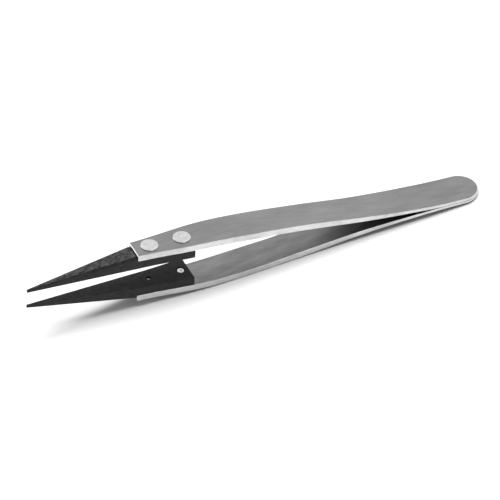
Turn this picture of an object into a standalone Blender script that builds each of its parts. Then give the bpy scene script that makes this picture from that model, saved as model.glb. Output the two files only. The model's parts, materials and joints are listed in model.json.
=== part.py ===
"""Precision tweezers with replaceable tips, as separate pieces in their own frame.

Two stainless arms are welded flat together at the tail. Each arm carries a
black plastic tip. Two flat-headed studs are pressed through the arm: the front
one is a pin that locates the tip, and the rear one is a threaded bush. A small
socket screw is driven into the bush from the tip's inner face.

The tweezers are drawn lying along -X: the tail end at x = 0, the points at
x = -LENGTH, and z = 0 the middle plane where the arms meet. An empty then
tilts them and stands them on the ground as they rest, with the origin under
the middle of their box. All sizes are in metres.
"""

import math

import bmesh
import bpy
from mathutils import Matrix, Vector

# Driving dimensions.
LENGTH = 0.1260           # tail end to points
ARM_LENGTH = 0.0964       # tail end to the front end of an arm
WELD_LENGTH = 0.0100      # how far the two arms lie flat together
FLEX = 0.0270             # where an arm bends, from the tail end
FLEX_HEIGHT = 0.0014      # the middle of the arm's thickness there
TAIL_RADIUS = 0.00495     # the tail is a full round end

# An arm seen from above: (distance from the tail end, half width).
ARM_WIDTHS = (
    (0.012, 0.00499),
    (0.024, 0.00480),
    (0.038, 0.00452),
    (0.052, 0.00447),
    (0.066, 0.00465),
    (0.080, 0.00434),
    (0.093, 0.00323),
    (ARM_LENGTH, 0.00305),
)
# The tip follows the widths from this one on, so its sides run on from the arm's.
TIP_WIDTHS_FROM = 4

# An arm seen from the side: (distance, height of its outer face, thickness).
TAIL_THICKNESS = 0.00082
TAIL_FLAT = 0.008         # from the tail end to here the arm is flat
FRONT_THICKNESS = 0.00177
FRONT_HEIGHT = 0.00743
FRONT_FLAT = 0.079        # from here to its end the arm is flat
ARM_BOW = (
    (0.021, 0.00152, 0.00100),
    (0.034, 0.00287, 0.00140),
    (0.048, 0.00490, 0.00178),
    (0.062, 0.00643, 0.00180),
)
SEAM = 0.00002            # half of the gap between the two welded faces
SPLIT_GAP = 0.0001        # between an arm's tail and its moving length
FIT_GAP = 0.00004         # between pieces that touch

# The tip: a flat tang inside the arm and a tapered nose past its end.
TANG_START = 0.0808
TANG_INNER = 0.00330      # height of the inner face at the tang's rear end
SHOULDER_INNER = 0.00316  # the same at the arm's end, and at the points
POINT_INNER = 0.00208
POINT_OUTER = 0.00290
POINT_HALF_WIDTH = 0.00022
SHOULDER_GAP = 0.0002     # from the arm's end to the nose's shoulder
SHOULDER_DROP = 0.00055   # the nose's outer face below the arm's
NOSE_FLAT = 0.0022        # half width of that face at the arm's end
POINT_FLAT = 0.00011      # and at the points
CHAMFER_DROP = 0.0007     # how far down the chamfer runs at the arm's end

# Fasteners.
PIN_PLACE = 0.0920        # distance from the tail end
SCREW_PLACE = 0.0830
STUD_RADIUS = 0.00232     # the flat heads of the pin and the bush
STUD_HEIGHT = 0.00025
BARREL_RADIUS = 0.00125
BARREL_END = 0.0050       # height of the barrels' lower ends
PIN_RADIUS = 0.00058
PIN_END = 0.0037          # the pin stops just inside the tip's inner face
THREAD_RADIUS = 0.0007
THREAD_TOP = 0.0069
THREAD_ROOM = 0.0002
HEAD_RADIUS = 0.00092
HEAD_HEIGHT = 0.0006
SEAT = 0.0041             # height of the seat under the screw's head
COUNTERBORE_RADIUS = 0.0011
SOCKET_RADIUS = 0.00052
SOCKET_DEPTH = 0.00035

ROUND_SIDES = 32
CURVE_STEPS = 6
# How far the handles reach towards the next knot, where a line passes a knot level.
# 0.5523 makes a quarter circle.
LEVEL_REACH = {"LEVEL": 1 / 3, "ARC": 0.5523}
WIDE = 0.012              # deeper than the tweezers are wide or high
OVERRUN = 0.002           # how far a side view runs past the ends that the plan cuts
ROOTED = 0.0002           # how far a barrel or a shank starts inside its head
SHARP_EDGE = math.radians(30)
UPRIGHT = Matrix.Rotation(math.radians(90), 4, "X")

STEEL = ("satin stainless steel", (0.50, 0.50, 0.51, 1), 1.0, 0.34)
POLISHED = ("polished stainless steel", (0.72, 0.72, 0.73, 1), 1.0, 0.22)
PLASTIC = ("carbon-filled black plastic", (0.020, 0.020, 0.021, 1), 0.0, 0.55)


def start_empty():
    for old in list(bpy.data.objects):
        bpy.data.objects.remove(old)
    collections = []
    for name in ("precision_tweezers", "cutters"):
        collection = bpy.data.collections.new(name)
        bpy.context.scene.collection.children.link(collection)
        collections.append(collection)
    return collections


def material(recipe):
    name, colour, metallic, roughness = recipe
    made = bpy.data.materials.get(name)
    if made is None:
        made = bpy.data.materials.new(name)
        made.use_nodes = True
        shader = made.node_tree.nodes["Principled BSDF"]
        shader.inputs["Base Color"].default_value = colour
        shader.inputs["Metallic"].default_value = metallic
        shader.inputs["Roughness"].default_value = roughness
        made.diffuse_color = colour
    return made


def link_cutter(name, data):
    cutter = bpy.data.objects.new(name, data)
    cutters.objects.link(cutter)
    cutter.hide_render = True
    cutter.display_type = "WIRE"
    return cutter


def closed_mesh(obj):
    """The mesh that the object's modifiers leave, with a curve's loose caps welded on."""
    graph = bpy.context.evaluated_depsgraph_get()
    mesh = bpy.data.meshes.new_from_object(obj.evaluated_get(graph))
    shape = bmesh.new()
    shape.from_mesh(mesh)
    bmesh.ops.remove_doubles(shape, verts=shape.verts, dist=1e-7)
    bmesh.ops.recalc_face_normals(shape, faces=shape.faces)
    shape.to_mesh(mesh)
    shape.free()
    return mesh


def level_handles(point, before, after, reach):
    """Handles along X, so that the line runs level through this point."""
    point.handle_left_type = "FREE"
    point.handle_right_type = "FREE"
    point.handle_left = point.co + Vector(((before.x - point.co.x) * reach, 0, 0))
    point.handle_right = point.co + Vector(((after.x - point.co.x) * reach, 0, 0))


def outline_solid(name, knots, turn=None):
    """A closed outline thickened both ways. A knot is (x, y, how the line passes)."""
    curve = bpy.data.curves.new(name, "CURVE")
    curve.dimensions = "2D"
    curve.fill_mode = "BOTH"
    curve.extrude = WIDE
    curve.resolution_u = CURVE_STEPS
    curve.render_resolution_u = 0
    spline = curve.splines.new("BEZIER")
    spline.bezier_points.add(len(knots) - 1)
    spline.use_cyclic_u = True
    places = [Vector((x, y, 0)) for x, y, passes in knots]
    for point, place in zip(spline.bezier_points, places):
        point.co = place
    for index, (point, knot) in enumerate(zip(spline.bezier_points, knots)):
        before = places[index - 1]
        after = places[(index + 1) % len(places)]
        if knot[2] in LEVEL_REACH:
            level_handles(point, before, after, LEVEL_REACH[knot[2]])
        else:
            point.handle_left_type = knot[2]
            point.handle_right_type = knot[2]
    obj = link_cutter(name, curve)
    mesh = closed_mesh(obj)
    bpy.data.objects.remove(obj)
    if turn is not None:
        mesh.transform(turn)
    return link_cutter(name, mesh)


def combine(obj, operation, tool):
    change = obj.modifiers.new(f"{operation.lower()} {tool.name}", "BOOLEAN")
    change.operation = operation
    change.solver = "EXACT"
    change.object = tool


def disc(name, radius, low, high, distance, sides=ROUND_SIDES):
    """An upright cylinder between two heights, at a distance from the tail end."""
    shape = bmesh.new()
    bmesh.ops.create_cone(
        shape, cap_ends=True, segments=sides,
        radius1=radius, radius2=radius, depth=high - low,
    )
    mesh = bpy.data.meshes.new(name)
    shape.to_mesh(mesh)
    shape.free()
    mesh.transform(Matrix.Translation((-distance, 0, (low + high) / 2)))
    return link_cutter(name, mesh)


def block(name, near, far):
    """A wide block that covers the arm between two distances from the tail end."""
    shape = bmesh.new()
    bmesh.ops.create_cube(shape, size=1)
    mesh = bpy.data.meshes.new(name)
    shape.to_mesh(mesh)
    shape.free()
    mesh.transform(Matrix.Diagonal((far - near, 3 * WIDE, 3 * WIDE, 1)))
    mesh.transform(Matrix.Translation((-(near + far) / 2, 0, 0)))
    return link_cutter(name, mesh)


def both_sides(side):
    """The knots along one side, out from the tail, and their mirror image back."""
    there = [(-s, half, passes) for s, half, passes in side]
    back = [(x, -half, passes) for x, half, passes in reversed(there)]
    return there + back


def arm_plan():
    side = [(TAIL_RADIUS, TAIL_RADIUS, "ARC")]
    side += [(s, half, "AUTO") for s, half in ARM_WIDTHS[:-1]]
    side += [(*ARM_WIDTHS[-1], "VECTOR")]
    return outline_solid("arm_plan", [(0, 0, "AUTO")] + both_sides(side))


def arm_side():
    tail, end = OVERRUN, -ARM_LENGTH - OVERRUN
    outer = [(tail, TAIL_THICKNESS, "VECTOR"), (-TAIL_FLAT, TAIL_THICKNESS, "LEVEL")]
    outer += [(-s, height, "AUTO") for s, height, thick in ARM_BOW]
    outer += [(-FRONT_FLAT, FRONT_HEIGHT, "LEVEL"), (end, FRONT_HEIGHT, "VECTOR")]
    inner_front = FRONT_HEIGHT - FRONT_THICKNESS
    inner = [(end, inner_front, "VECTOR"), (-FRONT_FLAT, inner_front, "LEVEL")]
    inner += [(-s, height - thick, "AUTO") for s, height, thick in reversed(ARM_BOW)]
    inner += [(-WELD_LENGTH, SEAM, "LEVEL"), (tail, SEAM, "VECTOR")]
    return outline_solid("arm_side", outer + inner, UPRIGHT)


def blade():
    """One whole arm: its side view thickened, and cut to its outline from above."""
    whole = arm_side()
    combine(whole, "INTERSECT", arm_plan())
    return whole


def arm_meshes():
    """The arm's moving length, with its two holes for the studs, and its welded tail."""
    half_gap = SPLIT_GAP / 2
    front = blade()
    combine(front, "INTERSECT", block("front_length", FLEX + half_gap, LENGTH))
    for distance in (PIN_PLACE, SCREW_PLACE):
        hole = disc("stud_hole", BARREL_RADIUS + FIT_GAP, 0, WIDE, distance)
        combine(front, "DIFFERENCE", hole)
    rear = blade()
    combine(rear, "INTERSECT", block("tail_length", -WIDE, FLEX - half_gap))
    return closed_mesh(front), closed_mesh(rear)


def tip_blank():
    """The tang and nose: the side view thickened, and cut to the outline from above."""
    shelf = FRONT_HEIGHT - FRONT_THICKNESS - FIT_GAP
    shoulder = ARM_LENGTH + SHOULDER_GAP
    side_view = (
        (TANG_START, shelf),
        (TANG_START, TANG_INNER),
        (ARM_LENGTH, SHOULDER_INNER),
        (LENGTH, POINT_INNER),
        (LENGTH, POINT_OUTER),
        (shoulder, FRONT_HEIGHT - SHOULDER_DROP),
        (shoulder, shelf),
    )
    knots = [(-s, height, "VECTOR") for s, height in side_view]
    tip = outline_solid("tip_side", knots, UPRIGHT)
    side = [(s, half, "AUTO") for s, half in ARM_WIDTHS[TIP_WIDTHS_FROM:-1]]
    side += [(*ARM_WIDTHS[-1], "VECTOR"), (LENGTH, POINT_HALF_WIDTH, "VECTOR")]
    plan = outline_solid("tip_plan", both_sides(side))
    combine(tip, "INTERSECT", plan)
    return tip


def chamfer_cutter(side):
    """A block with one face on the plane of the nose's chamfer, on one side of it."""
    half_width = ARM_WIDTHS[-1][1]
    top = FRONT_HEIGHT - SHOULDER_DROP
    edge = Vector((-ARM_LENGTH, side * NOSE_FLAT, top))
    foot = Vector((-ARM_LENGTH, side * half_width, top - CHAMFER_DROP))
    point = Vector((-LENGTH, side * POINT_FLAT, POINT_OUTER))
    along = (point - edge).normalized()
    up = along.cross(foot - edge).normalized()
    if up.z < 0:
        up = -up
    across = up.cross(along)
    turn = Matrix((along, across, up)).transposed().to_4x4()
    shape = bmesh.new()
    bmesh.ops.create_cube(shape, size=1)
    mesh = bpy.data.meshes.new("chamfer")
    shape.to_mesh(mesh)
    shape.free()
    mesh.transform(Matrix.Diagonal((2 * LENGTH, 2 * WIDE, WIDE, 1)))
    mesh.transform(Matrix.Translation((0, 0, WIDE / 2)))
    mesh.transform(turn)
    mesh.transform(Matrix.Translation(edge))
    return link_cutter("chamfer", mesh)


def tip_mesh():
    """The tip with its chamfers, and its holes for the pin, the bush and the screw."""
    tip = tip_blank()
    for side in (1, -1):
        combine(tip, "DIFFERENCE", chamfer_cutter(side))
    holes = (
        (PIN_PLACE, BARREL_RADIUS, BARREL_END - FIT_GAP, WIDE),
        (PIN_PLACE, PIN_RADIUS, 0, WIDE),
        (SCREW_PLACE, BARREL_RADIUS, BARREL_END - FIT_GAP, WIDE),
        (SCREW_PLACE, THREAD_RADIUS, 0, WIDE),
        (SCREW_PLACE, COUNTERBORE_RADIUS, 0, SEAT),
    )
    for distance, radius, low, high in holes:
        combine(tip, "DIFFERENCE", disc("tip_hole", radius + FIT_GAP, low, high, distance))
    return closed_mesh(tip)


def stud_blank(name):
    """A flat round head on a barrel."""
    low = FRONT_HEIGHT + FIT_GAP
    stud = disc(name, STUD_RADIUS, low, low + STUD_HEIGHT, 0)
    barrel = disc("barrel", BARREL_RADIUS, BARREL_END, low + ROOTED, 0)
    combine(stud, "UNION", barrel)
    return stud


def pin_mesh():
    """The locating pin: a stud with a thin pin on the end of its barrel."""
    stud = stud_blank("locating_pin")
    combine(stud, "UNION", disc("pin", PIN_RADIUS, PIN_END, BARREL_END + ROOTED, 0))
    return closed_mesh(stud)


def bush_mesh():
    """The screw's bush: a stud that is open below, where the screw goes in."""
    stud = stud_blank("screw_bush")
    bore = disc("bore", THREAD_RADIUS + FIT_GAP, 0, THREAD_TOP + THREAD_ROOM, 0)
    combine(stud, "DIFFERENCE", bore)
    return closed_mesh(stud)


def screw_mesh():
    """A socket-headed screw whose head bears on its seat from below."""
    top = SEAT - FIT_GAP
    screw = disc("screw_head", HEAD_RADIUS, top - HEAD_HEIGHT, top, 0)
    shank = disc("shank", THREAD_RADIUS, top - ROOTED, THREAD_TOP, 0)
    socket = disc("socket", SOCKET_RADIUS, 0, top - HEAD_HEIGHT + SOCKET_DEPTH, 0, sides=6)
    combine(screw, "UNION", shank)
    combine(screw, "DIFFERENCE", socket)
    return closed_mesh(screw)


def empty(name, parent, place=(0, 0, 0), turn=(0, 0, 0)):
    made = bpy.data.objects.new(name, None)
    tweezers.objects.link(made)
    made.parent = parent
    made.location = place
    made.rotation_euler = turn
    return made


def piece(name, mesh, recipe, parent, place):
    """A named piece with its material, placed under its parent."""
    made = bpy.data.objects.new(name, mesh)
    tweezers.objects.link(made)
    made.parent = parent
    made.location = place
    if not mesh.materials:
        mesh.materials.append(material(recipe))
    mesh.shade_smooth()
    mesh.set_sharp_from_angle(angle=SHARP_EDGE)
    return made


def build_side(side, turn, frame, meshes):
    """All the pieces of the upper or lower half. The lower one is turned over."""
    half = empty(f"{side}_half", frame, turn=(turn, 0, 0))
    hinge = Vector((-FLEX, 0, FLEX_HEIGHT))
    pivot = empty(f"{side}_arm_pivot", half, place=hinge)
    piece(f"{side}_arm_tail", meshes["tail"], STEEL, half, (0, 0, 0))
    piece(f"{side}_arm", meshes["arm"], STEEL, pivot, -hinge)
    piece(f"{side}_tip", meshes["tip"], PLASTIC, pivot, -hinge)
    fasteners = (
        ("locating_pin", PIN_PLACE),
        ("screw_bush", SCREW_PLACE),
        ("tip_screw", SCREW_PLACE),
    )
    for name, distance in fasteners:
        place = Vector((-distance, 0, 0)) - hinge
        piece(f"{side}_{name}", meshes[name], POLISHED, pivot, place)


def rest_tilt(arm):
    """The angle of the line from the tail's end that just touches the arm's back."""
    return max(
        math.atan2(vertex.co.z - TAIL_THICKNESS, -vertex.co.x) for vertex in arm.vertices
    )


def stand_on_ground(frame):
    """Put the origin on the ground under the middle of the tweezers' box."""
    bpy.context.view_layer.update()
    corners = [
        obj.matrix_world @ vertex.co
        for obj in tweezers.objects if obj.type == "MESH"
        for vertex in obj.data.vertices
    ]
    low = [min(corner[axis] for corner in corners) for axis in range(3)]
    high = [max(corner[axis] for corner in corners) for axis in range(3)]
    frame.location = (-(low[0] + high[0]) / 2, -(low[1] + high[1]) / 2, -low[2])


def build():
    arm, tail = arm_meshes()
    meshes = {
        "arm": arm,
        "tail": tail,
        "tip": tip_mesh(),
        "locating_pin": pin_mesh(),
        "screw_bush": bush_mesh(),
        "tip_screw": screw_mesh(),
    }
    frame = empty("tweezers_frame", None, turn=(0, rest_tilt(arm), 0))
    build_side("upper", 0, frame, meshes)
    build_side("lower", math.pi, frame, meshes)
    stand_on_ground(frame)


tweezers, cutters = start_empty()
build()
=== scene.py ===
# %% [markdown]
# # Precision tweezers with replaceable tips
#
# The real tweezers are two stainless blades, welded flat together at a round
# tail. Each blade carries a black plastic tip, which is located by a pin and
# held by a screw bush with a small socket screw. The engineering model gives
# the places, the sizes and the two bending joints. This script makes the
# surfaces that are seen, in the same frame, so nothing has to be fitted
# afterwards.

# %% Load the engineering model
import json
import math

import bmesh
import bpy
from mathutils import Matrix, Vector


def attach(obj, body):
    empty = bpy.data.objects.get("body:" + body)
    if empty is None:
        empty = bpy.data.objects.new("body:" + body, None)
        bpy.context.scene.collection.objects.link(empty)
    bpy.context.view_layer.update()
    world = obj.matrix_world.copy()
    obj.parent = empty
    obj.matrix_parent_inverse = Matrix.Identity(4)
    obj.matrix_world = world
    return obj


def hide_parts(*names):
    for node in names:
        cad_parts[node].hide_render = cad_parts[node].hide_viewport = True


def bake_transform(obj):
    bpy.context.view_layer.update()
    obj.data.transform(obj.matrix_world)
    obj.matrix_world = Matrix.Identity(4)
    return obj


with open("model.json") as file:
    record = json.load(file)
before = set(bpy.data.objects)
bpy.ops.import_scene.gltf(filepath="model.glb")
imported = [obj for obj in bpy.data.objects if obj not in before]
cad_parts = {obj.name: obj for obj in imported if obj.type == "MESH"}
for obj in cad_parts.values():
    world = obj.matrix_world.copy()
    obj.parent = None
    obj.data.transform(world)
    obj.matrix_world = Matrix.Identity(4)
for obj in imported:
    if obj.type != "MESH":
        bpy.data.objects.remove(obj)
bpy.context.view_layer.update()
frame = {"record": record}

scene = bpy.context.scene

# %% [markdown]
# ## The tweezers' own frame
#
# The tweezers rest on the tail's end and on the bow of the lower blade, so
# they lie a little tilted. It is easier to draw them level, in millimetres,
# with the tail's end at zero and the points along -X, and to let one matrix
# tilt, place and scale each finished mesh. The tilt is read from the tail's
# flat top face, and the place from the two bending joints, which lie on both
# sides of the middle plane. The lower half is the upper one turned over.

# %% The matrix from the tweezers' frame to the world
MM = 0.001
FLEX = 27.0      # the bending joints, from the tail's end
tail_face = next(mount for mount in frame["record"]["mounts"] if mount["name"] == "tail_top_face")
up = Vector(tail_face["axis"]).normalized()
along = Vector((up.z, 0, -up.x))
across = Vector((0, 1, 0))
pivots = [Vector(joint["pos_m"]) for joint in frame["record"]["behaviour"]["joints"]]
tail_end = (pivots[0] + pivots[1]) / 2 + along * FLEX * MM
turn = Matrix((along, across, up)).transposed().to_4x4()
OWN_FRAME = Matrix.Translation(tail_end) @ turn @ Matrix.Scale(MM, 4)
HALVES = {"upper": OWN_FRAME, "lower": OWN_FRAME @ Matrix.Rotation(math.pi, 4, "X")}
print("tilt:", round(math.degrees(math.asin(up.x)), 2), "degrees, tail end at", tail_end)

# %% [markdown]
# ## Camera
#
# A long lens from far away keeps the two long edges of a blade nearly
# parallel, as in a catalogue picture. The camera stands on a sphere round the
# tweezers: its azimuth and elevation give the direction, and a small roll
# turns the picture.

# %% Place the camera
AZIMUTH = math.radians(-20.763)
ELEVATION = math.radians(41.075)
ROLL = math.radians(-4.177)
DISTANCE = 5.0
PICTURE_WIDTH = 0.12855     # the picture is as wide as this, in metres, at the tweezers
SENSOR = 36.0
side = Vector((math.cos(AZIMUTH), math.sin(AZIMUTH), 0))
back = Vector((
    math.sin(AZIMUTH) * math.cos(ELEVATION),
    -math.cos(AZIMUTH) * math.cos(ELEVATION),
    math.sin(ELEVATION),
))
level_up = back.cross(side)
right = side * math.cos(ROLL) + level_up * math.sin(ROLL)
picture_up = level_up * math.cos(ROLL) - side * math.sin(ROLL)
MIDDLE = Vector((0, 0, 0.008))    # inside the tweezers, where the camera looks
SHIFT_RIGHT = -0.000416
SHIFT_UP = -0.003176
target = MIDDLE + right * SHIFT_RIGHT + picture_up * SHIFT_UP
lens = bpy.data.cameras.new("camera")
lens.sensor_width = SENSOR
lens.lens = SENSOR * DISTANCE / PICTURE_WIDTH
camera = bpy.data.objects.new("camera", lens)
camera.matrix_world = (
    Matrix.Translation(target + back * DISTANCE)
    @ Matrix((right, picture_up, back)).transposed().to_4x4()
)
scene.collection.objects.link(camera)
scene.camera = camera
print("camera at", camera.matrix_world.translation, "lens", round(lens.lens), "mm")

# %% [markdown]
# ## Nodes and colours
#
# Colours are written as sRGB hex values, the way a paint chart gives them, and
# one function turns them to the linear values that shaders work with. A second
# function adds one node with its settings and links.

# %% Two helpers for materials
def linear(code):
    """Linear red, green, blue and alpha of an sRGB hex colour."""
    parts = [int(code[at:at + 2], 16) / 255 for at in (1, 3, 5)]
    return [part / 12.92 if part <= 0.04045 else ((part + 0.055) / 1.055) ** 2.4
            for part in parts] + [1]


def add(tree, kind, inputs=(), **settings):
    """Add a shader node. An input is a value, or another node's output to link."""
    node = tree.nodes.new("ShaderNode" + kind)
    for name, value in settings.items():
        setattr(node, name, value)
    for name, value in dict(inputs).items():
        if isinstance(value, bpy.types.NodeSocket):
            tree.links.new(value, node.inputs[name])
        else:
            node.inputs[name].default_value = value
    return node


def new_material(name):
    """An empty Principled material: its tree, its shader, and itself."""
    made = bpy.data.materials.new(name)
    made.use_nodes = True
    return made, made.node_tree, made.node_tree.nodes["Principled BSDF"]


print("mid grey #808080 is", [round(part, 3) for part in linear("#808080")])

# %% [markdown]
# ## Studio
#
# A pale seamless floor and soft light. The blades are metal, so what they
# mirror matters more than how much light falls on them. The sky is therefore a
# smooth gradient: pale at the horizon, grey half way up behind the tweezers,
# and darker on the camera's side. Two small soft boxes, one low on the left
# and one in front, show only in the rounded rims that face them, and draw
# the bright line along each rim. A broad lamp straight above lights the floor
# and gives the short, soft shadow. Metals don't mirror it, so their faces keep
# the gradient of the sky.

# %% Floor
FLOOR_SIZE = 6.0          # half its width, in metres, so no edge is seen
scene.view_settings.view_transform = "Standard"

floor_shape = bmesh.new()
bmesh.ops.create_grid(floor_shape, x_segments=1, y_segments=1, size=FLOOR_SIZE)
floor_mesh = bpy.data.meshes.new("studio_floor")
floor_shape.to_mesh(floor_mesh)
floor_shape.free()
floor = bpy.data.objects.new("studio_floor", floor_mesh)
scene.collection.objects.link(floor)
paper, paper_tree, paper_shader = new_material("matt white studio paper")
paper_shader.inputs["Base Color"].default_value = linear("#AAAAAA")
paper_shader.inputs["Roughness"].default_value = 0.9
paper_shader.inputs["Specular IOR Level"].default_value = 0.0
floor_mesh.materials.append(paper)
print("floor:", 2 * FLOOR_SIZE, "metres wide")

# %% [markdown]
# ## Sky
#
# A ramp from the horizon to the zenith gives the grey of the sky. Its strength
# falls in front, and rises again towards each soft box.

# %% Sky
HORIZON_TO_ZENITH = (     # sine of the height above the horizon, grey
    (0.0, 1.25), (0.25, 1.05), (0.45, 0.66), (0.62, 0.85), (0.80, 0.72), (1.0, 0.55),
)
IN_FRONT = 0.5            # strength of the sky on the camera's side
SOFT_BOXES = ((-0.64, 0.70, 0.25), (0.27, -0.63, 0.67))     # directions
SOFT_BOX_STRENGTH = 1.6
SOFT_BOX_RIM = 0.90       # cosine of the angle at which a box fades out
SOFT_BOX_FULL = 0.98      # and at which it is full
sky = bpy.data.worlds.new("studio sky")
scene.world = sky
sky.use_nodes = True
tree = sky.node_tree
direction = add(tree, "SeparateXYZ", {0: add(tree, "TexCoord").outputs["Generated"]})
gradient = add(tree, "ValToRGB", {"Fac": direction.outputs["Z"]})
ramp = gradient.color_ramp
for position, grey in HORIZON_TO_ZENITH[1:-1]:
    ramp.elements.new(position)
for element, (position, grey) in zip(ramp.elements, HORIZON_TO_ZENITH):
    element.position = position
    element.color = (grey, grey, grey, 1)
in_front = add(tree, "MapRange", {
    "Value": direction.outputs["Y"], "From Min": 0.1, "From Max": -0.6,
}, interpolation_type="SMOOTHSTEP")
above = add(tree, "MapRange", {
    "Value": direction.outputs["Z"], "From Min": 0.08, "From Max": 0.4,
}, interpolation_type="SMOOTHSTEP")
darker = add(tree, "Math", {
    0: in_front.outputs["Result"], 1: above.outputs["Result"],
}, operation="MULTIPLY")
strength = add(tree, "MapRange", {
    "Value": darker.outputs[0], "To Min": 1.0, "To Max": IN_FRONT,
})
total = strength.outputs["Result"]
for towards in SOFT_BOXES:
    towards_box = add(tree, "VectorMath", {
        0: add(tree, "TexCoord").outputs["Generated"], 1: Vector(towards).normalized(),
    }, operation="DOT_PRODUCT")
    box = add(tree, "MapRange", {
        "Value": towards_box.outputs["Value"],
        "From Min": SOFT_BOX_RIM, "From Max": SOFT_BOX_FULL, "To Max": SOFT_BOX_STRENGTH,
    }, interpolation_type="SMOOTHSTEP")
    brighter = add(tree, "Math", {0: total, 1: box.outputs["Result"]}, operation="ADD")
    total = brighter.outputs[0]
background = tree.nodes["Background"]
tree.links.new(gradient.outputs["Color"], background.inputs["Color"])
tree.links.new(total, background.inputs["Strength"])
print("sky with", len(SOFT_BOXES), "soft boxes")

# %% [markdown]
# ## Lamp
#
# A sun lamp with a wide angle stands for a large diffuser above the table. The
# wider the angle, the softer the rim of the shadow.

# %% Lamp
lamp = bpy.data.lights.new("overhead_lamp", "SUN")
lamp.energy = 7.6
lamp.angle = math.radians(45)
overhead = bpy.data.objects.new("overhead_lamp", lamp)
overhead.rotation_euler = (math.radians(-6), 0, 0)
overhead.visible_glossy = False
scene.collection.objects.link(overhead)
print("lamp:", lamp.energy, "watts per square metre,", round(math.degrees(lamp.angle)), "degrees wide")

# %% [markdown]
# ## Satin stainless steel
#
# The blades are austenitic stainless sheet, brushed lengthwise with a fine
# abrasive belt and left satin. The belt leaves long, shallow scratches. They
# spread the reflection across the blade much more than along it, so the shader
# is anisotropic, with its tangent across the blade, and they give faint
# streaks. Handling leaves soft, cloudy patches. Real scratches are about
# 0.05 mm wide and 1 mm long, too fine to show here, so the streaks are drawn
# 0.3 mm wide and 6 mm long.
#
# The blanked edges are ground, which leaves them brighter, with short marks
# along them. The inner faces get a copy of the steel that is a little darker
# and duller, and towards the weld, where the blades close over each other, it
# is painted darker still: painted shade.

# %% Blade steels
BELT_STREAK = (6 * MM, 0.3 * MM, 1)                # length, width, height
GRINDING_MARK = (2.5 * MM, 1, 0.35 * MM)
CLOUD = (11 * MM, 3.5 * MM, 20 * MM)
DARKEST_TONE = 0.72       # the sum of the two noises hardly leaves this range
LIGHTEST_TONE = 1.28
SCRATCH_DEPTH = 0.02 * MM


def stretched_noise(tree, size, detail):
    """A noise whose grain has the given length, width and height, in metres."""
    spot = add(tree, "TexCoord")
    stretch = add(tree, "Mapping", {
        "Vector": spot.outputs["Object"],
        "Scale": tuple(1 / length for length in size),
    })
    return add(tree, "TexNoise", {
        "Vector": stretch.outputs["Vector"], "Scale": 1.0, "Detail": detail, "Roughness": 0.6,
    }).outputs["Fac"]


def brushed_steel(name, dark, light, smooth, rough, mark, spread):
    """A metal with marks in its colour, its gloss and its surface."""
    made, tree, shader = new_material(name)
    streak = stretched_noise(tree, mark, 3)
    cloud = stretched_noise(tree, CLOUD, 4)
    tone = add(tree, "Math", {0: streak, 1: cloud}, operation="ADD")
    level = add(tree, "MapRange", {
        "Value": tone.outputs[0], "From Min": DARKEST_TONE, "From Max": LIGHTEST_TONE,
    })
    colour = add(tree, "Mix", {
        0: level.outputs["Result"], 6: linear(dark), 7: linear(light),
    }, data_type="RGBA", name="steel colour")
    tree.links.new(colour.outputs[2], shader.inputs["Base Color"])
    gloss = add(tree, "MapRange", {
        "Value": tone.outputs[0], "From Min": DARKEST_TONE, "From Max": LIGHTEST_TONE,
        "To Min": rough, "To Max": smooth,
    })
    tree.links.new(gloss.outputs["Result"], shader.inputs["Roughness"])
    scratch = add(tree, "Bump", {"Height": streak, "Strength": 0.3, "Distance": SCRATCH_DEPTH})
    tree.links.new(scratch.outputs["Normal"], shader.inputs["Normal"])
    across_blade = add(tree, "CombineXYZ", {"Y": 1.0})
    tree.links.new(across_blade.outputs[0], shader.inputs["Tangent"])
    shader.inputs["Anisotropic"].default_value = spread
    shader.inputs["Metallic"].default_value = 1.0
    return made


blade_face = brushed_steel(
    "satin brushed stainless steel", "#989898", "#AEAEAE", 0.31, 0.39, BELT_STREAK, 0.6,
)
blade_edge = brushed_steel(
    "ground stainless edge", "#B0B0B0", "#DCDCDC", 0.24, 0.40, GRINDING_MARK, 0.0,
)
# The inner faces' copy is a little darker: painted shade between the blades.
inner_steel_with_painted_shade = brushed_steel(
    "inner stainless steel with painted shade", "#909090", "#ACACAC", 0.32, 0.46, BELT_STREAK, 0.6,
)
print(blade_face.name, "-", blade_edge.name, "-", inner_steel_with_painted_shade.name)

# %% [markdown]
# ## Painted shade between the blades
#
# Towards the tail the blades close over each other, and the inner faces are
# painted darker there, as painted shade. One more mix, led by the place along
# X, turns the colour from the steel to a dark grey.

# %% Paint shade on the inner face towards the tail
SHADE_STARTS = 12 * MM     # along X; the painted shade starts here, and nearer the points there is none
SHADE_FULL = 40 * MM      # from here to the tail the painted shade is full
tree = inner_steel_with_painted_shade.node_tree
shader = tree.nodes["Principled BSDF"]
unshaded_colour = tree.nodes["steel colour"]
spot = add(tree, "SeparateXYZ", {0: add(tree, "TexCoord").outputs["Object"]})
painted_shade = add(tree, "MapRange", {
    "Value": spot.outputs["X"], "From Min": SHADE_STARTS, "From Max": SHADE_FULL,
}, interpolation_type="SMOOTHSTEP")
# Painted shade: towards the weld the colour turns to a dark grey, where the blades close over each
# other.
shaded_colour = add(tree, "Mix", {
    0: painted_shade.outputs["Result"], 6: unshaded_colour.outputs[2], 7: linear("#4C4C4C"),
}, data_type="RGBA")
tree.links.new(shaded_colour.outputs[2], shader.inputs["Base Color"])
print("the painted shade grows over", round((SHADE_FULL - SHADE_STARTS) / MM), "mm before it is full")

# %% [markdown]
# ## The line of a blade
#
# A blade is a flat blank that is bent once. Its outline from above and its
# bow from the side are each given by a few knots, at a distance from the
# tail's end, and a cubic runs smoothly through them.

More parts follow.
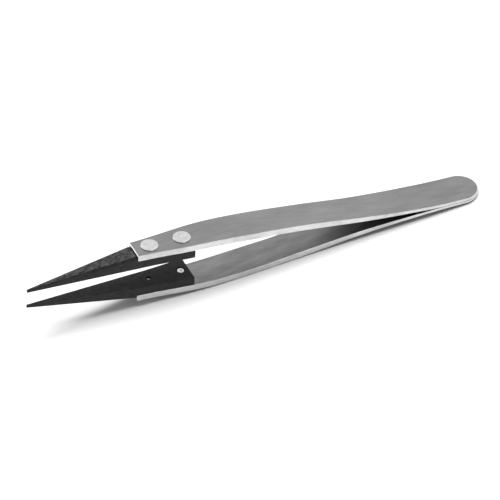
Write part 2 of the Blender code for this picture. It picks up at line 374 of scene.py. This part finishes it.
# %% Blade lines
TAIL_RADIUS = 4.95
ARM_END = 96.4
WIDTHS = (      # distance, half width
    (TAIL_RADIUS, 4.95), (12, 4.99), (24, 4.80), (38, 4.52), (52, 4.47),
    (66, 4.65), (80, 4.34), (93, 3.23), (ARM_END, 3.05),
)
OUTER = (       # distance, height of the outer face
    (8, 0.82), (21, 1.52), (34, 2.87), (48, 4.90), (62, 6.43), (79, 7.43),
)
INNER = (       # distance, height of the inner face
    (10, 0.02), (21, 0.52), (34, 1.47), (48, 3.12), (62, 4.63), (79, 5.66),
)


def smooth_line(knots, last_slope=0.0):
    """A function that runs smoothly through the knots, and starts level."""
    steps = [(b[1] - a[1]) / (b[0] - a[0]) for a, b in zip(knots, knots[1:])]
    spans = [b[0] - a[0] for a, b in zip(knots, knots[1:])]
    slopes = [0.0]
    for i in range(1, len(knots) - 1):
        before, after = spans[i - 1], spans[i]
        slopes.append((steps[i - 1] * after + steps[i] * before) / (before + after))
    slopes.append(last_slope)

    def value(distance):
        if distance <= knots[0][0]:
            return knots[0][1]
        if distance >= knots[-1][0]:
            return knots[-1][1]
        i = max(i for i, knot in enumerate(knots) if knot[0] <= distance)
        span = spans[i]
        t = (distance - knots[i][0]) / span
        return (
            knots[i][1] * (2 * t ** 3 - 3 * t ** 2 + 1)
            + slopes[i] * span * (t ** 3 - 2 * t ** 2 + t)
            + knots[i + 1][1] * (3 * t ** 2 - 2 * t ** 3)
            + slopes[i + 1] * span * (t ** 3 - t ** 2)
        )
    return value


END_TAPER = -0.06         # slope of the sides at the blade's front end
half_width = smooth_line(WIDTHS, last_slope=END_TAPER)
outer_height = smooth_line(OUTER)
inner_height = smooth_line(INNER)
print("half way along:", round(half_width(48), 2), round(outer_height(48), 2))

# %% [markdown]
# ## Cutting and rounding
#
# Two steps repeat for every piece. A cut takes a drill's shape away with an
# exact Boolean. Rounding then marks each sharp edge with the radius that it
# has there, and a Bevel modifier rounds them all, with its normals hardened
# so that the flat faces stay flat.

# %% Helpers that cut, round and place a piece
WIDEST_ROUND = 0.5       # a marked edge is rounded by its weight times this
SHARP = math.radians(18)
SLIVER = 0.001           # edges shorter than this are dissolved after a cut


def as_object(name, shape):
    """Put a bmesh in the scene, in the tweezers' own frame."""
    bmesh.ops.recalc_face_normals(shape, faces=shape.faces)
    mesh = bpy.data.meshes.new(name)
    shape.to_mesh(mesh)
    shape.free()
    made = bpy.data.objects.new(name, mesh)
    scene.collection.objects.link(made)
    return made


def settled(made):
    """The object's mesh with its modifiers applied. The object is removed."""
    graph = bpy.context.evaluated_depsgraph_get()
    mesh = bpy.data.meshes.new_from_object(made.evaluated_get(graph))
    bpy.data.objects.remove(made)
    return mesh


def cut(shape, tool):
    """The shape with the tool's shape taken away."""
    blank = as_object("blank", shape)
    cutter = as_object("cutter", tool)
    boolean = blank.modifiers.new("cut", "BOOLEAN")
    boolean.operation = "DIFFERENCE"
    boolean.solver = "EXACT"
    boolean.object = cutter
    left = bmesh.new()
    left.from_mesh(settled(blank))
    bmesh.ops.dissolve_degenerate(left, edges=left.edges, dist=SLIVER)
    bpy.data.objects.remove(cutter)
    return left


def drill(radius, low, high, distance, sides=64):
    """An upright cylinder between two heights, at a distance from the tail's end."""
    shape = bmesh.new()
    bmesh.ops.create_cone(
        shape, cap_ends=True, segments=sides, radius1=radius, radius2=radius,
        depth=high - low, matrix=Matrix.Translation((-distance, 0, (low + high) / 2)),
    )
    return shape


def rounded(name, shape, radius_at, segments=3):
    """A mesh with its sharp edges rounded. radius_at tells how far, edge by edge."""
    bmesh.ops.recalc_face_normals(shape, faces=shape.faces)
    weights = shape.edges.layers.float.new("bevel_weight_edge")
    for edge in shape.edges:
        if len(edge.link_faces) == 2 and edge.calc_face_angle() > SHARP:
            middle = (edge.verts[0].co + edge.verts[1].co) / 2
            edge[weights] = radius_at(middle) / WIDEST_ROUND
            edge.smooth = edge[weights] > 0
    for face in shape.faces:
        face.smooth = True
    made = as_object(name, shape)
    bevel = made.modifiers.new("rounded edges", "BEVEL")
    bevel.limit_method = "WEIGHT"
    bevel.width = WIDEST_ROUND
    bevel.segments = segments
    bevel.use_clamp_overlap = False
    bevel.harden_normals = True
    return settled(made)


def place(name, mesh, finishes, half):
    """Put a finished mesh in the scene as a piece of the upper or the lower half."""
    mesh = mesh.copy()
    mesh.name = name
    mesh.transform(HALVES[half])
    for finish in finishes:
        mesh.materials.append(finish)
    made = bpy.data.objects.new(name, mesh)
    scene.collection.objects.link(made)
    print(name, len(mesh.polygons), "faces")
    return made


print("edges over", round(math.degrees(SHARP)), "degrees are rounded, up to", WIDEST_ROUND, "mm")

# %% [markdown]
# ## Blades
#
# A blade is one strip of sheet, thin at the tail where it bends, and thick at
# the front where it holds the tip. Its round end is half a disc, and the strip
# is drawn out of it edge by edge, in short rows, each as wide as the outline
# is there. Solidify gives it a second face, and then both faces are bent to
# their own lines, so the thickness grows along the blade as it does on the
# rolled sheet.

# %% The blank of a blade
ROW = 1.0                # length of one row
DISC_SIDES = 96


def blade_sheet():
    """The flat blank of a blade: half a disc, and a strip drawn out of it."""
    shape = bmesh.new()
    bmesh.ops.create_circle(
        shape, cap_ends=True, segments=DISC_SIDES, radius=TAIL_RADIUS,
        matrix=Matrix.Translation((-TAIL_RADIUS, 0, 0)),
    )
    bmesh.ops.bisect_plane(
        shape, geom=shape.verts[:] + shape.edges[:] + shape.faces[:], dist=1e-4,
        plane_co=(-TAIL_RADIUS, 0, 0), plane_no=(1, 0, 0), clear_inner=True,
    )
    front = [edge for edge in shape.edges
             if all(abs(vert.co.x + TAIL_RADIUS) < 1e-3 for vert in edge.verts)]
    rows = round((ARM_END - TAIL_RADIUS) / ROW)
    for row in range(1, rows + 1):
        distance = TAIL_RADIUS + (ARM_END - TAIL_RADIUS) * row / rows
        drawn = bmesh.ops.extrude_edge_only(shape, edges=front)["geom"]
        new = [item for item in drawn if isinstance(item, bmesh.types.BMVert)]
        front = [item for item in drawn
                 if isinstance(item, bmesh.types.BMEdge) and all(vert in new for vert in item.verts)]
        for vert in new:
            vert.co = (-distance, math.copysign(half_width(distance), vert.co.y), 0)
    return shape


flat = blade_sheet()
print("flat blank:", len(flat.faces), "faces")
flat.free()

# %% [markdown]
# ## Bending the blade
#
# Solidify gives the blank its second face. Then every point of the outer face
# goes to the outer line and every point of the inner face to the inner line.
# Two holes take the barrels of the pin and the bush.

# %% Bend the blade and drill it
PIN_PLACE = 92.0         # from the tail's end
SCREW_PLACE = 83.0
BARREL_RADIUS = 1.25
CLEARANCE = 0.04
THROUGH = 12             # higher than the tweezers


def bent_blade():
    """The blank given its second face, and both faces bent to their lines."""
    shape = blade_sheet()
    bmesh.ops.recalc_face_normals(shape, faces=shape.faces)
    bmesh.ops.solidify(shape, geom=shape.faces[:], thickness=1.0)
    middle = sum(vert.co.z for vert in shape.verts) / len(shape.verts)
    for vert in shape.verts:
        line = outer_height if vert.co.z > middle else inner_height
        vert.co.z = line(-vert.co.x)
    for distance in (PIN_PLACE, SCREW_PLACE):
        shape = cut(shape, drill(BARREL_RADIUS + CLEARANCE, 0, THROUGH, distance))
    return shape


blade_shape = bent_blade()
print("bent blade:", len(blade_shape.faces), "faces")

# %% [markdown]
# ## The blade's edges
#
# A tumbled blade has no sharp edge. The outer edge is broken more than the
# inner one, and the front end most. The holes stay sharp, because the studs
# cover them. Each face then gets its steel by the way it faces: the sides the
# ground edge, and the inner faces the copy with painted shade.

# %% Round the blade and place it twice
OUTER_ROUND = 0.24
INNER_ROUND = 0.1
END_ROUND = 0.42         # the front end is broken more
NEAR = 0.1               # two places closer than this are taken as one
EDGE, INNER = 1, 2       # the blade's second and third material
UPRIGHT = 0.8            # a face whose normal rises less than this is an edge


def blade_radius(middle):
    """Rounding of a blade's edge: more outside than inside, none in the holes."""
    for distance in (PIN_PLACE, SCREW_PLACE):
        if math.hypot(middle.x + distance, middle.y) < BARREL_RADIUS + 2 * NEAR:
            return 0
    halfway = (outer_height(-middle.x) + inner_height(-middle.x)) / 2
    if middle.z < halfway - NEAR:
        return INNER_ROUND
    at_end = middle.x < -ARM_END + NEAR and middle.z > halfway + NEAR
    return END_ROUND if at_end else OUTER_ROUND


blade_mesh = rounded("blade", blade_shape, blade_radius)
# The inner faces take the steel with painted shade.
for face in blade_mesh.polygons:
    if abs(face.normal.z) < UPRIGHT:
        face.material_index = EDGE
    elif face.normal.z < 0:
        face.material_index = INNER
for half in ("upper", "lower"):
    blade = place(f"{half}_blade", blade_mesh, (blade_face, blade_edge, inner_steel_with_painted_shade), half)
    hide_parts(f"{half}_arm_tail", f"{half}_arm")
    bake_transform(blade)

# %% [markdown]
# ## Carbon-filled plastic
#
# The tips are a stiff plastic filled with chopped carbon fibre, so that they
# carry static charge away. The moulding is nearly black and matt. Its outer
# face has a coarse grain, where fibres lie along the surface and catch the
# light. The sides and the inner face come off polished tool steel and are
# smoother and darker. The fibres are about 0.1 mm long, and are drawn three
# times as long to show.

# %% Tip plastics
FIBRE = 0.3 * MM
PATCH = (1.6 * MM, 0.7 * MM, 0.7 * MM)
PALEST_TONE = 1.3         # of the two noises added up
SMOOTHEST = 0.45          # roughness on a fibre
ROUGHEST = 0.62           # and between fibres
GRAIN_DEPTH = 0.05 * MM


def filled_plastic(name, dark, light, fibre_share, relief):
    """A black plastic with paler fibres that lie along the tip."""
    made, tree, shader = new_material(name)
    shader.inputs["Specular IOR Level"].default_value = 0.3
    fibres = stretched_noise(tree, (2.2 * FIBRE, FIBRE, FIBRE), 3)
    patches = stretched_noise(tree, PATCH, 2)
    tone = add(tree, "Math", {0: fibres, 1: patches}, operation="ADD")
    level = add(tree, "MapRange", {
        "Value": tone.outputs[0],
        "From Min": PALEST_TONE - fibre_share, "From Max": PALEST_TONE,
    })
    colour = add(tree, "Mix", {
        0: level.outputs["Result"], 6: linear(dark), 7: linear(light),
    }, data_type="RGBA")
    tree.links.new(colour.outputs[2], shader.inputs["Base Color"])
    gloss = add(tree, "MapRange", {
        "Value": level.outputs["Result"], "To Min": ROUGHEST, "To Max": SMOOTHEST,
    })
    tree.links.new(gloss.outputs["Result"], shader.inputs["Roughness"])
    bump = add(tree, "Bump", {
        "Height": tone.outputs[0], "Strength": relief, "Distance": GRAIN_DEPTH,
    })
    tree.links.new(bump.outputs["Normal"], shader.inputs["Normal"])
    return made


grained_plastic = filled_plastic(
    "grained carbon-filled plastic", "#060606", "#383838", 0.5, 1.0,
)
smooth_plastic = filled_plastic(
    "smooth carbon-filled plastic", "#080808", "#181818", 0.5, 0.3,
)
print(grained_plastic.name, "and", smooth_plastic.name)

# %% [markdown]
# ## Tips
#
# A tip is one moulding: a flat tang that lies inside the blade, and a nose
# that runs on from the blade's end to the point. It starts as the flat side
# view, is thickened across, sliced in short steps, and each slice is then
# drawn in to the width it has there.

# %% The blank of a tip
LENGTH = 126.0
TANG_START = 80.8
SHELF = 5.62             # height of the tang's outer face, under the blade
SHOULDER = 96.6
NOSE_TOP = 6.88
POINT_TOP = 2.90
POINT_HALF = 0.22
SIDE_VIEW = (            # distance, height
    (TANG_START, SHELF), (TANG_START, 3.30), (ARM_END, 3.16), (LENGTH, 2.08),
    (LENGTH, POINT_TOP), (SHOULDER, NOSE_TOP), (SHOULDER, SHELF),
)
SLICE = 1.5
TIP_INSET = 0.1          # the tip is this much narrower than the blade on each side


def tip_half_width(distance):
    """Half the tip's width: a little less than the blade's, then a taper to the point."""
    if distance <= ARM_END:
        return half_width(distance) - TIP_INSET
    share = (distance - ARM_END) / (LENGTH - ARM_END)
    return tip_half_width(ARM_END) * (1 - share) + POINT_HALF * share


def slice_at(shape, where, normal, clear=False):
    """Cut through the shape with a plane. With clear, take off what is outside it."""
    result = bmesh.ops.bisect_plane(
        shape, geom=shape.verts[:] + shape.edges[:] + shape.faces[:], dist=1e-4,
        plane_co=where, plane_no=normal, clear_outer=clear,
    )
    if clear:
        rim = [item for item in result["geom_cut"] if isinstance(item, bmesh.types.BMEdge)]
        bmesh.ops.edgeloop_fill(shape, edges=rim)


def tip_blank():
    """The side view thickened across, sliced, and drawn in to the outline."""
    shape = bmesh.new()
    corners = [shape.verts.new((-distance, -1, height)) for distance, height in SIDE_VIEW]
    face = shape.faces.new(corners)
    drawn = bmesh.ops.extrude_face_region(shape, geom=[face], use_keep_orig=True)["geom"]
    moved = [item for item in drawn if isinstance(item, bmesh.types.BMVert)]
    bmesh.ops.translate(shape, verts=moved, vec=(0, 2, 0))
    slices = int((LENGTH - TANG_START) / SLICE)
    for step in range(1, slices + 1):
        slice_at(shape, (-TANG_START - step * SLICE, 0, 0), (1, 0, 0))
    slice_at(shape, (-ARM_END, 0, 0), (1, 0, 0))
    for vert in shape.verts:
        vert.co.y *= tip_half_width(-vert.co.x)
    return shape


blank = tip_blank()
print("tip's blank:", len(blank.faces), "faces")
blank.free()

# %% [markdown]
# ## Chamfers and holes
#
# Two slanting cuts make the chamfers along the nose. The holes follow the
# fasteners: a wide one for each barrel, a thin one for the pin's end, and a
# screw's hole with a counterbore, so that its head lies below the face.

# %% Cut the chamfers and the holes
NOSE_FLAT = 2.2          # half width of the nose's outer face at the blade's end
POINT_FLAT = 0.11
CHAMFER_DROP = 0.7
BARREL_END = 5.0
PIN_RADIUS = 0.58
SHANK = 0.7
SEAT = 4.1               # height of the seat under the screw's head
COUNTERBORE_RADIUS = 1.1
TIP_HOLES = (            # place, radius, lowest and highest point
    (PIN_PLACE, BARREL_RADIUS, BARREL_END - CLEARANCE, THROUGH),
    (PIN_PLACE, PIN_RADIUS, 0, THROUGH),
    (SCREW_PLACE, BARREL_RADIUS, BARREL_END - CLEARANCE, THROUGH),
    (SCREW_PLACE, SHANK, 0, THROUGH),
    (SCREW_PLACE, COUNTERBORE_RADIUS, 0, SEAT),
)


def chamfered_tip():
    """The blank with its two long chamfers and the holes for the fasteners."""
    shape = tip_blank()
    for side_sign in (1, -1):
        edge = Vector((-ARM_END, side_sign * NOSE_FLAT, NOSE_TOP))
        foot = Vector((-ARM_END, side_sign * half_width(ARM_END), NOSE_TOP - CHAMFER_DROP))
        point = Vector((-LENGTH, side_sign * POINT_FLAT, POINT_TOP))
        normal = (point - edge).cross(foot - edge).normalized()
        if normal.z < 0:
            normal = -normal
        slice_at(shape, edge, normal, clear=True)
    for distance, radius, low, high in TIP_HOLES:
        shape = cut(shape, drill(radius + CLEARANCE, low, high, distance))
    return shape


tip_shape = chamfered_tip()
print("tip:", len(tip_shape.faces), "faces")

# %% [markdown]
# ## The tip's edges
#
# A moulding's edges are as round as its mould's, and finer at the point. Only
# the nose's outer face is grained. The tip is placed twice, once in each half.

# %% Round the tip and place it twice
ROOT_ROUND = 0.13
POINT_ROUND = 0.07
HOLE_ROUND = 0.04
INNER_LEVEL = 3.4        # the tang's inner face lies below this height
OUTWARD = 0.9            # a face whose normal rises more than this looks outwards


def tip_radius(middle):
    """Rounding of the moulding's edges, finer towards the point."""
    for distance in (PIN_PLACE, SCREW_PLACE):
        if math.hypot(middle.x + distance, middle.y) < BARREL_RADIUS + NEAR:
            return HOLE_ROUND if middle.z < INNER_LEVEL else 0
    share = max(0, (-middle.x - ARM_END) / (LENGTH - ARM_END))
    return ROOT_ROUND * (1 - share) + POINT_ROUND * share


tip_mesh = rounded("tip", tip_shape, tip_radius, segments=2)
for face in tip_mesh.polygons:
    grained = face.normal.z > OUTWARD and face.center.x < -SHOULDER + 2 * NEAR
    face.material_index = 0 if grained else 1
for half in ("upper", "lower"):
    tip = place(f"{half}_moulded_tip", tip_mesh, (grained_plastic, smooth_plastic), half)
    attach(tip, f"{half}_arm")
    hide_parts(f"{half}_tip")

# %% [markdown]
# ## Turned steel
#
# The studs and screws are turned from stainless bar, and polishing makes the
# faces bright. The fine rings of the turning are gone, and what is left is a
# slight cloudiness, a millimetre or so across.

# %% Turned steel
SPECK = 1.4 * MM


def turned_steel(name, dark, light, smooth, rough):
    """Bright steel, a little uneven in its colour and its gloss."""
    made, tree, shader = new_material(name)
    shader.inputs["Metallic"].default_value = 1.0
    spot = add(tree, "TexCoord")
    speck = add(tree, "TexNoise", {
        "Vector": spot.outputs["Object"], "Scale": 1 / SPECK, "Detail": 3, "Roughness": 0.6,
    })
    level = add(tree, "MapRange", {
        "Value": speck.outputs["Fac"], "From Min": 0.3, "From Max": 0.7,
    })
    colour = add(tree, "Mix", {
        0: level.outputs["Result"], 6: linear(dark), 7: linear(light),
    }, data_type="RGBA")
    tree.links.new(colour.outputs[2], shader.inputs["Base Color"])
    gloss = add(tree, "MapRange", {
        "Value": level.outputs["Result"], "To Min": rough, "To Max": smooth,
    })
    tree.links.new(gloss.outputs["Result"], shader.inputs["Roughness"])
    return made


stud_steel = turned_steel("polished turned stud steel", "#E2E2E2", "#F8F8F8", 0.16, 0.24)
screw_steel = turned_steel("bright screw steel", "#ECECEC", "#FAFAFA", 0.15, 0.25)
print(stud_steel.name, "and", screw_steel.name)

# %% [markdown]
# ## Pins, bushes and screws
#
# All three are turned parts, so each is a half profile spun once round its
# axis. The pin and the bush are studs with the same flat head and barrel. The
# pin runs on as a thin end that locates the tip. The bush is hollow, and takes
# the screw, whose head lies in the tip's counterbore.

# %% Turn the fasteners
STUD_RADIUS = 2.32
STUD_LOW = 7.53          # just above the blade, which leaves a fine dark line
STUD_TOP = 7.72
PIN_END = 3.65
BORE_TOP = 7.1
SHANK_TOP = 6.9
HEAD_RADIUS = 0.92
HEAD_HEIGHT = 0.6
HEAD_TOP = SEAT - CLEARANCE
HEAD_LOW = HEAD_TOP - HEAD_HEIGHT
SOCKET_RADIUS = 0.52
SOCKET_DEPTH = 0.35
TURN_STEPS = 72
STUD = (                 # radius and height, from the middle of the head inwards
    (0, STUD_TOP), (STUD_RADIUS, STUD_TOP), (STUD_RADIUS, STUD_LOW),
    (BARREL_RADIUS, STUD_LOW), (BARREL_RADIUS, BARREL_END),
)
BORE = SHANK + CLEARANCE
PIN_END_PROFILE = ((PIN_RADIUS, BARREL_END), (PIN_RADIUS, PIN_END), (0, PIN_END))
BORE_PROFILE = ((BORE, BARREL_END), (BORE, BORE_TOP), (0, BORE_TOP))


def spun(profile):
    """A closed solid of revolution from (radius, height) points on one side."""
    shape = bmesh.new()
    verts = [shape.verts.new((radius, 0, height)) for radius, height in profile]
    edges = [shape.edges.new(pair) for pair in zip(verts, verts[1:])]
    bmesh.ops.spin(
        shape, geom=verts + edges, cent=(0, 0, 0), axis=(0, 0, 1),
        angle=2 * math.pi, steps=TURN_STEPS, use_merge=True,
    )
    bmesh.ops.remove_doubles(shape, verts=shape.verts, dist=1e-4)
    return shape


def screw_shape():
    """The screw, with the hexagon of its socket cut into the spun shape."""
    shape = spun((
        (0, HEAD_LOW), (HEAD_RADIUS, HEAD_LOW), (HEAD_RADIUS, HEAD_TOP),
        (SHANK, HEAD_TOP), (SHANK, SHANK_TOP), (0, SHANK_TOP),
    ))
    return cut(shape, drill(SOCKET_RADIUS, HEAD_LOW - 1, HEAD_LOW + SOCKET_DEPTH, 0, sides=6))


FASTENERS = (            # name, shape, place, material, slot
    ("locating_pin", spun(STUD + PIN_END_PROFILE), PIN_PLACE, stud_steel, "stud_steel"),
    ("screw_bush", spun(STUD + BORE_PROFILE), SCREW_PLACE, stud_steel, "stud_steel"),
    ("tip_screw", screw_shape(), SCREW_PLACE, screw_steel, "screw_steel"),
)
print("turned shapes:", [fastener[0] for fastener in FASTENERS])

# %% [markdown]
# ## The fasteners' rims
#
# The rims of the flat heads are polished round and catch the light, and so is
# the pin's domed end. The small rims only lose their sharpness.

# %% Round the fasteners and place them
AT_RIM = 0.05            # an edge this close to a rim belongs to it
STUD_ROUND = 0.15
PIN_ROUND = 0.2
HEAD_ROUND = 0.08
SMALL_ROUND = 0.02


def fastener_radius(middle):
    """Rounding of a fastener's rims: wide on the head's."""
    reach = math.hypot(middle.x, middle.y)
    if reach > STUD_RADIUS - AT_RIM:
        return STUD_ROUND if middle.z > STUD_TOP - AT_RIM else SMALL_ROUND
    if abs(reach - PIN_RADIUS) < SMALL_ROUND and middle.z < PIN_END + AT_RIM:
        return PIN_ROUND
    return HEAD_ROUND if abs(reach - HEAD_RADIUS) < AT_RIM else SMALL_ROUND


for name, shape, distance, finish, slot in FASTENERS:
    mesh = rounded(name, shape, fastener_radius)
    mesh.transform(Matrix.Translation((-distance, 0, 0)))
    for half in ("upper", "lower"):
        fastener = place(f"{half}_{name}_turned", mesh, (finish,), half)
        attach(fastener, f"{half}_arm")
        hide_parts(f"{half}_{name}")

# %% [markdown]
# ## Finish

# %% Finish
print("done")
